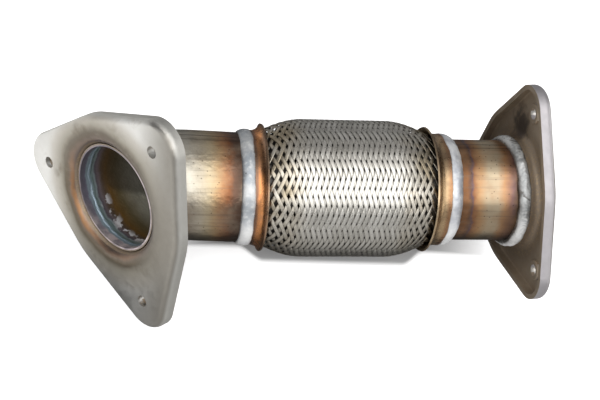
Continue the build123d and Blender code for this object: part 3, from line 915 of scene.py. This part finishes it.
def bead(node, origin, axis, run):
    """A weld bead with the section of a node, uneven edges, lumps and the ripples of its run."""
    points = section(node, origin, axis)
    outer = upper_hull(points)
    places = np.array([place for place, _ in outer])
    radii = np.array([radius for _, radius in outer])
    base_r = min(radius for _, radius in points)
    side = axis.orthogonal().normalized()
    back = axis.cross(side)
    ring = BEAD_ROWS + 2
    vertices, faces, toes = [], [], []
    for step in range(BEAD_STEPS):
        angle = 2 * math.pi * step / BEAD_STEPS
        across = side * math.cos(angle) + back * math.sin(angle)
        low = edge_shift(run, angle, LOW_EDGE, LOW_EDGE_FINE)
        high = edge_shift(run, angle, HIGH_EDGE, HIGH_EDGE_FINE)
        for row in range(BEAD_ROWS):
            share = row / (BEAD_ROWS - 1)
            place = places[0] + (places[-1] - places[0]) * share
            radius = float(np.interp(place, places, radii))
            body = math.sin(math.pi * share)
            radius += body ** BODY_EXPONENT * relief(run, angle, radius, share, body)
            place += low * (1 - share) + high * share
            vertices.append(origin + axis * place + across * radius)
            toes.append(1 - body ** TOE_EXPONENT)
        for place in (places[-1] + high, places[0] + low):
            vertices.append(origin + axis * place + across * base_r)
            toes.append(1.0)
    for step in range(BEAD_STEPS):
        here = step * ring
        beyond = (step + 1) % BEAD_STEPS * ring
        for row in range(ring):
            after = (row + 1) % ring
            faces.append((here + row, beyond + row, beyond + after, here + after))
    return vertices, faces, {"toe": toes}


def weld_metal(name, tones, toe_darkening, crust=0.0):
    """Weld metal: dull silver with white patches and painted light on its underside, with pores, a dark toe
    and dark crust.
    """
    surface = Surface(name)
    cloud = surface.noise(WELD_CLOUDS)
    fine = surface.noise(WELD_GRAIN)
    tone = surface.mix(surface.grow(cloud, *WELD_CLOUD_RANGE), *tones)
    tone = surface.mix(surface.grow(fine, *WHITE_PATCH_RANGE), tone, WHITE_PATCH)
    if crust:
        scale = surface.grow(surface.noise(CRUST_GRAIN), *CRUST_RANGE, crust)
        tone = surface.mix(scale, tone, CRUST)
    underside = surface.grow(surface.facing(NEAR_BELOW), *UNDERSIDE_FACING)
    # Painted light: whiter and less metallic on the underside
    painted_underside_light = surface.times(underside, surface.spread(cloud, *UNDERSIDE_PATCHES))
    tone = surface.mix(painted_underside_light, tone, UNDERSIDE_PAINTED_LIGHT)
    pores = surface.specks(PORE_WAVES, PORE_SIZE)
    tone = surface.mix(surface.times(pores, PORE_STRENGTH), tone, PORE)
    grime = surface.spread(fine, *TOE_PATCHES, toe_darkening / 2, toe_darkening)
    tone = surface.mix(surface.times(surface.layer("toe"), grime), tone, TOE)
    surface.set("Base Color", tone)
    surface.set("Metallic", surface.spread(underside, *UNDERSIDE_METAL))
    surface.set("Roughness", surface.shine(fine, *WELD_ROUGHNESS))
    surface.bump((fine, WELD_GRAIN_DEPTH), (surface.noise(WELD_PITS), WELD_PIT_DEPTH),
                 (surface.math("SUBTRACT", 1.0, pores), PORE_DEPTH))
    return surface.material


def make_beads():
    """The four weld beads."""
    inlet_metal = weld_metal("inlet_weld_metal", INLET_WELD_TONES, COLLAR_TOE_DARKENING)
    outlet_metal = weld_metal("outlet_weld_metal", OUTLET_WELD_TONES, COLLAR_TOE_DARKENING)
    flange_metal = weld_metal("flange_weld_metal", FLANGE_WELD_TONES, FLANGE_TOE_DARKENING, CRUST_SHARE)
    for place, origin, axis, run, material in (
            ("inlet_collar", PIPE_MIDDLE, PIPE_AXIS, INLET_COLLAR_RUN, inlet_metal),
            ("outlet_collar", PIPE_MIDDLE, PIPE_AXIS, OUTLET_COLLAR_RUN, outlet_metal),
            ("inlet_flange", INLET_MOUTH, INLET_FACING, INLET_FLANGE_RUN, flange_metal),
            ("outlet_flange", OUTLET_MOUTH, OUTLET_FACING, OUTLET_FLANGE_RUN, flange_metal)):
        node = f"{place}_weld"
        new_piece(f"{place}_bead", *bead(node, origin, axis, run), material, "weld_bead", node)


# Materials of the plain pieces


def flange_ring(surface, warped, radius, rise, mouth):
    """The brown heat ring round the mouth, with smudges, orange tint with painted light on its lower side, a
    dark edge low down, and painted shade on top.
    """
    ring = surface.ramp(warped, RING_TINTS)
    smudge = surface.times(surface.grow(surface.noise(SMUDGE_GRAIN), *SMUDGE_RANGE),
                           surface.band(radius, *SMUDGE_BAND))
    ring = surface.mix(smudge, ring, SMUDGE)
    # Orange heat tint with painted light, on the lower side of the lip
    lit_orange = surface.times(surface.band(warped, *ORANGE_BAND), surface.spread(rise, *ORANGE_HEIGHTS),
                          surface.spread(surface.along(mouth, PIPE_AXIS), *ORANGE_PLACES))
    ring = surface.mix(lit_orange, ring, ORANGE_TINT_AND_PAINTED_LIGHT)
    edged = surface.times(surface.band(warped, *DARK_RING_EDGE_BAND), surface.fade(rise, *DARK_RING_EDGE_HEIGHTS))
    ring = surface.mix(edged, ring, DARK_RING_EDGE)
    # Painted shade on the upper side of the ring
    painted_ring_shade = surface.times(surface.band(warped, *RING_TOP_SHADE_BAND), surface.grow(rise, *RING_TOP_SHADE_HEIGHTS))
    return surface.mix(painted_ring_shade, ring, RING_TOP_PAINTED_SHADE)


def flange_face(surface, cloud, fine, radius, mouth):
    """Satin steel with its heat ring, mottled, with painted shade towards the tube."""
    satin = surface.mix(surface.spread(cloud, *MOST_NOISE), *FACE_TONES)
    warped = surface.plus(radius, surface.uneven(cloud, FLANGE_CLOUD_REACH),
                          surface.uneven(fine, FLANGE_GRAIN_REACH))
    rise = surface.along(mouth, PIPE_TOP)
    ring = flange_ring(surface, warped, radius, rise, mouth)
    face = surface.mix(surface.fade(warped, *RING_RADII), satin, ring)
    mottle = surface.times(surface.grow(surface.noise(MOTTLE_GRAIN), *MOTTLE_RANGE),
                           surface.spread(rise, *MOTTLE_HEIGHTS))
    face = surface.mix(mottle, face, MOTTLE)
    # Painted shade on the face towards the tube
    painted_tubeward_shade = surface.grow(surface.along(mouth, PIPE_AXIS), *TUBEWARD_PLACES)
    return surface.mix(painted_tubeward_shade, face, TUBEWARD_PAINTED_SHADE)


def flange_back(surface, cloud, fine, radius, neck):
    """Heat-browned steel, with painted shade near the neck, with gilt specks on it and a sooty spot."""
    brown = surface.mix(surface.grow(cloud, *BACK_CLOUD_RANGE), *BACK_TONES)
    # Painted shade near the neck
    brown = surface.mix(surface.fade(radius, *DEEP_RADII), brown, DEEP_PAINTED_SHADE)
    gilded = surface.times(neck, surface.grow(surface.noise(GILT_GRAIN), *GILT_RANGE))
    brown = surface.mix(gilded, brown, GILT)
    away = surface.plus(surface.away(SOOT_PLACE), surface.uneven(fine, SOOT_REACH))
    return surface.mix(surface.fade(away, *SOOT_DISTANCES), brown, SOOT)


def flange_steel(name, mouth, facing, skirt_tone):
    """Pressed flange: a satin face with a heat ring, a duller rolled edge and a brown hollow back."""
    surface = Surface(name)
    cloud = surface.noise(FLANGE_CLOUDS)
    fine = surface.noise(FLANGE_GRAIN)
    radius = surface.from_axis(mouth, facing)
    outward = surface.outward(mouth)
    upright = surface.fade(surface.math("ABSOLUTE", surface.facing(facing)), *SKIRT_FACING)
    skirt = surface.times(upright, surface.grow(outward, *SKIRT_OUTWARD))
    hollow = surface.times(surface.fade(outward, *HOLLOW_OUTWARD), surface.grow(radius, *HOLLOW_RADII))
    neck = surface.times(surface.fade(radius, *NECK_OUTER_RADII), surface.grow(radius, *NECK_INNER_RADII))
    backward = surface.grow(surface.facing(-facing), *BACK_FACING)
    behind = surface.times(surface.most(backward, hollow, neck),
                           surface.grow(surface.along(mouth, -facing), *BACK_DEPTHS))
    face = surface.mix(skirt, flange_face(surface, cloud, fine, radius, mouth), skirt_tone)
    back = flange_back(surface, cloud, fine, radius, neck)
    surface.set("Base Color", surface.mix(behind, face, back))
    surface.set("Metallic", surface.spread(behind, *BACK_METAL))
    duller = surface.times(surface.most(behind, skirt), DULLER)
    surface.set("Roughness", surface.plus(surface.shine(fine, *FLANGE_ROUGHNESS), duller))
    surface.bump((surface.noise(FLANGE_PITS), FLANGE_PIT_DEPTH),
                 (surface.noise(FLANGE_DENTS), FLANGE_DENT_DEPTH))
    return surface.material


def painted_horizon_line(surface, angle):
    """A thin painted reflection of the horizon along a tube, at an angle round it."""
    up = PIPE_TOP * math.sin(angle) - PIPE_BACK * math.cos(angle)
    sideways = PIPE_TOP * math.cos(angle) + PIPE_BACK * math.sin(angle)
    return surface.times(surface.band(surface.facing(sideways), *LINE_BAND),
                         surface.grow(surface.facing(up), *LINE_FACING))


def tube_outside(surface, stops, wash, streak):
    """Heat tints in ragged bands along the pipe, with streaks and specks, painted reflections of the horizon
    as dark lines, and painted shade on the underside.
    """
    place = surface.along(PIPE_MIDDLE, PIPE_AXIS)
    ragged = surface.plus(place, surface.uneven(surface.noise(TINT_CLOUDS), TINT_CLOUD_REACH),
                          surface.uneven(surface.noise(TINT_GRAIN), TINT_GRAIN_REACH))
    tint = surface.ramp(ragged, stops)
    tint = surface.mix(surface.grow(surface.noise(WASH_CLOUDS), *WASH_RANGE), tint, wash)
    tint = surface.mix(surface.grow(streak, *STREAK_RANGE), tint, STREAK)
    specks = surface.times(surface.specks(SPECK_WAVES, SPECK_SIZE), SPECK_STRENGTH)
    tint = surface.mix(specks, tint, SPECK)
    below = surface.facing(NEAR_BELOW)
    # Painted shade where the tube faces down towards the near side
    painted_inlet_end_shade = surface.times(surface.grow(below, *INLET_END_FACING), surface.fade(place, *INLET_END_PLACES))
    tint = surface.mix(painted_inlet_end_shade, tint, INLET_END_PAINTED_SHADE)
    tint = surface.mix(surface.grow(below, *TUBE_UNDERSIDE_FACING), tint, TUBE_UNDERSIDE_PAINTED_SHADE)
    # Painted reflections of the horizon: dark lines beyond the top of the tube
    for angle, strength in PAINTED_HORIZON_LINES:
        horizon_line = surface.times(painted_horizon_line(surface, math.radians(angle)), strength)
        tint = surface.mix(horizon_line, tint, HORIZON_REFLECTION)
    return tint


def bore_tint(surface, depth):
    """Colours inside the mouth: tints by depth, a pale haze of painted light, white drips with painted
    glints, and painted shade at the far end.
    """
    tint = surface.ramp(depth, INLET_INSIDE_TINTS)
    back = surface.along(INLET_MOUTH, PIPE_BACK)
    glint = surface.times(surface.band(depth, *GLINT_BAND), surface.fade(back, *GLINT_BACKWARD),
                          surface.grow(surface.noise(GLINT_GRAIN), *GLINT_RANGE))
    tint = surface.mix(glint, tint, GLINT)
    # Painted light: a pale haze on the near side of the mouth
    painted_haze = surface.times(surface.fade(depth, *HAZE_DEPTHS), surface.fade(back, *HAZE_BACKWARD),
                         surface.spread(surface.noise(HAZE_GRAIN), *HAZE_RANGE))
    tint = surface.mix(painted_haze, tint, PAINTED_LIGHT_HAZE)
    shaded = surface.times(surface.grow(depth, *BORE_SHADE_DEPTHS), surface.grow(back, *BORE_SHADE_BACKWARD))
    return surface.mix(shaded, tint, BORE_SHADE)


def inlet_tube_steel():
    """The inlet tube: heat-tinted outside with painted shade and reflections, and tinted by the gas inside
    its mouth, with painted light and shade there.
    """
    surface = Surface("inlet_tube_steel")
    streak = surface.streaks(STREAK_GRAIN, PIPE_AXIS, STREAK_LENGTH)
    outside = tube_outside(surface, INLET_TUBE_TINTS, INLET_WASH, streak)
    depth = surface.plus(surface.along(INLET_MOUTH, -INLET_FACING),
                         surface.uneven(surface.noise(DEPTH_GRAIN), DEPTH_REACH))
    within = surface.times(surface.fade(surface.from_axis(INLET_MOUTH, INLET_FACING), *BORE_RADII),
                           surface.fade(depth, *INSIDE_DEPTHS))
    surface.set("Base Color", surface.mix(within, outside, bore_tint(surface, depth)))
    surface.set("Metallic", surface.spread(within, *INSIDE_METAL))
    surface.set("Roughness", surface.shine(surface.noise(TUBE_SHINE), *TUBE_ROUGHNESS))
    ridge = surface.times(within, surface.band(depth, *BORE_RIDGE_BAND))
    surface.bump((streak, STREAK_DEPTH), (ridge, BORE_RIDGE_HEIGHT),
                 (surface.noise(BORE_DENTS), BORE_DENT_DEPTH))
    return surface.material


def outlet_tube_steel():
    """The outlet tube: heat-tinted, with painted shade below and painted reflections of the horizon, and
    dented a little.
    """
    surface = Surface("outlet_tube_steel")
    streak = surface.streaks(STREAK_GRAIN, PIPE_AXIS, STREAK_LENGTH)
    surface.set("Base Color", tube_outside(surface, OUTLET_TUBE_TINTS, OUTLET_WASH, streak))
    surface.set("Roughness", surface.shine(surface.noise(TUBE_SHINE), *TUBE_ROUGHNESS))
    surface.bump((streak, STREAK_DEPTH), (surface.noise(OUTLET_DENTS), OUTLET_DENT_DEPTH))
    return surface.material


def collar_metal(name, rim, towards_tube, stops):
    """A collar coloured by heat from its rim to its neck, blotched, with painted shade along its very top.
    """
    surface = Surface(name)
    place = surface.along(PIPE_MIDDLE + PIPE_AXIS * rim, PIPE_AXIS * towards_tube)
    ragged = surface.plus(place, surface.uneven(surface.noise(COLLAR_CLOUDS), COLLAR_CLOUD_REACH))
    tone = surface.ramp(ragged, stops)
    tone = surface.mix(surface.grow(surface.noise(BLOTCH_GRAIN), *BLOTCH_RANGE), tone, BLOTCH)
    # Painted shade along the very top of the collar
    painted_top_shade = surface.grow(surface.along(PIPE_MIDDLE, PIPE_TOP), *COLLAR_TOP_HEIGHTS)
    surface.set("Base Color", surface.mix(painted_top_shade, tone, COLLAR_TOP_PAINTED_SHADE))
    surface.set("Roughness", surface.shine(surface.noise(COLLAR_SHINE), *COLLAR_ROUGHNESS))
    surface.bump((surface.noise(COLLAR_SCRATCHES), COLLAR_SCRATCH_DEPTH))
    return surface.material


def inner_steel():
    """The hidden pieces inside the joint: steel painted very dark, as painted shade seen through the weave.
    """
    surface = Surface("inner_steel")
    surface.set("Base Color", surface.mix(surface.noise(INNER_GRAIN), *INNER_PAINTED_SHADE_TONES))
    surface.set("Roughness", INNER_ROUGHNESS)
    return surface.material


def paint_nodes():
    """Materials of the nodes whose shape stays as it is."""
    paint("inlet_flange", flange_steel("inlet_flange_steel", INLET_MOUTH, INLET_FACING, INLET_SKIRT))
    paint("outlet_flange", flange_steel("outlet_flange_steel", OUTLET_MOUTH, OUTLET_FACING, OUTLET_SKIRT))
    paint("inlet_elbow", inlet_tube_steel())
    paint("outlet_tube", outlet_tube_steel())
    paint("inlet_collar", collar_metal("inlet_collar_copper", INLET_RIM, -1, INLET_COLLAR_TINTS))
    paint("outlet_collar", collar_metal("outlet_collar_gold", OUTLET_RIM, 1, OUTLET_COLLAR_TINTS))
    inner = inner_steel()
    for node in INNER_NODES:
        paint(node, inner)


# Studio


def camera_mix(tree, unseen, seen, socket):
    """Gives a socket one colour for the camera and another for light and reflections."""
    path = tree.nodes.new("ShaderNodeLightPath")
    mixed = tree.nodes.new("ShaderNodeMix")
    mixed.data_type = "RGBA"
    tree.links.new(path.outputs["Is Camera Ray"], mixed.inputs["Factor"])
    for value, name in ((unseen, "A"), (seen, "B")):
        if isinstance(value, bpy.types.NodeSocket):
            tree.links.new(value, mixed.inputs[name])
        else:
            mixed.inputs[name].default_value = (*value, 1.0)
    tree.links.new(mixed.outputs["Result"], socket)


def floor_painted_light():
    """Shown white with a painted shadow and a painted glow, and mirrored by the metal with painted
    reflections: dark near the part and bright to the left.
    """
    surface = Surface("floor_painted_light")
    surface.set("Metallic", 0.0)
    surface.set("Roughness", FLOOR_ROUGHNESS)
    surface.set("Specular IOR Level", 0.0)
    sideways = surface.along(FLOOR_MIDDLE, RIGHTWARD)
    backward = surface.along(FLOOR_MIDDLE, BACKWARD)
    # Painted reflections: the floor mirrored bright to the left, in front and far behind, and dark near the
    # part
    left = surface.fade(sideways, *LIGHT_LEFT)
    light = surface.most(left, surface.fade(backward, *LIGHT_NEAR), surface.grow(backward, *LIGHT_BEHIND))
    painted_reflection = surface.mix(light, *PAINTED_REFLECTION_TONES)
    # Painted shadow: a band under the part, shown darker and without glow
    bulge = surface.fade(surface.off(sideways, SHADOW_BULGE_MIDDLE), *SHADOW_BULGE)
    in_front = surface.fade(surface.plus(backward, bulge), *SHADOW_FRONT)
    beside = surface.grow(surface.off(sideways, SHADOW_MIDDLE), *SHADOW_SIDES)
    lit = surface.most(beside, in_front, surface.grow(backward, *SHADOW_BACK))
    # Painted light: a glow for the camera that grows with distance
    distant = surface.spread(surface.from_axis(FLOOR_MIDDLE, UPWARD), *HORIZON)
    # Painted light: a glow to the left, for reflections and bounced light only
    painted_glow = surface.mix(left, BLACK, LEFT_PAINTED_GLOW)
    inputs = surface.shader.inputs
    camera_mix(surface.tree, painted_reflection, surface.mix(lit, *PAINTED_SHADOW_TONES), inputs["Base Color"])
    camera_mix(surface.tree, painted_glow, WHITE, inputs["Emission Color"])
    surface.set("Emission Strength", surface.times(lit, distant))
    return surface.material


def make_floor():
    """A wide white floor, with a painted shadow under the part."""
    corners = [(-FLOOR_HALF, -FLOOR_HALF, 0), (FLOOR_HALF, -FLOOR_HALF, 0),
               (FLOOR_HALF, FLOOR_HALF, 0), (-FLOOR_HALF, FLOOR_HALF, 0)]
    mesh = bpy.data.meshes.new("floor")
    mesh.from_pydata(corners, [], [(0, 1, 2, 3)])
    mesh.materials.append(floor_painted_light())
    floor = bpy.data.objects.new("floor", mesh)
    bpy.context.scene.collection.objects.link(floor)


def make_world():
    """White all round for the camera, and a dim room for reflections."""
    world = bpy.data.worlds.new("studio")
    bpy.context.scene.world = world
    world.use_nodes = True
    tree = world.node_tree
    camera_mix(tree, DIM_ROOM, WHITE, tree.nodes["Background"].inputs["Color"])


def make_light(box):
    """A softbox at its place round the middle of the part, hidden from the camera."""
    low, high = cad_box
    target = (low + high) / 2
    turn, rise = math.radians(box.azimuth), math.radians(box.elevation)
    direction = Vector((math.sin(turn) * math.cos(rise), -math.cos(turn) * math.cos(rise), math.sin(rise)))
    light = bpy.data.lights.new(box.name, "AREA")
    light.shape = "RECTANGLE"
    light.size = box.width
    light.size_y = box.height
    light.energy = box.strength * box.width * box.height * math.pi
    lamp = bpy.data.objects.new(box.name, light)
    lamp.location = target + direction * box.distance
    lamp.rotation_mode = "QUATERNION"
    lamp.rotation_quaternion = direction.to_track_quat("Z", "Y")
    lamp.visible_camera = False
    bpy.context.scene.collection.objects.link(lamp)


def make_camera():
    """The camera, with its lens and its place."""
    camera = bpy.data.cameras.new("camera")
    camera.lens = CAMERA_LENS
    camera.sensor_width = SENSOR_WIDTH
    holder = bpy.data.objects.new("camera", camera)
    right = CAMERA_LOOK.cross(CAMERA_UP).normalized()
    up = right.cross(CAMERA_LOOK).normalized()
    back = -CAMERA_LOOK.normalized()
    turn = Matrix((right, up, back)).transposed().to_4x4()
    holder.matrix_world = Matrix.Translation(CAMERA_PLACE) @ turn
    bpy.context.scene.collection.objects.link(holder)
    bpy.context.scene.camera = holder


make_camera()
make_floor()
make_world()
for box in SOFTBOXES:
    make_light(box)
paint_nodes()
make_sleeve()
make_beads()
bpy.context.scene.view_settings.view_transform = "Standard"
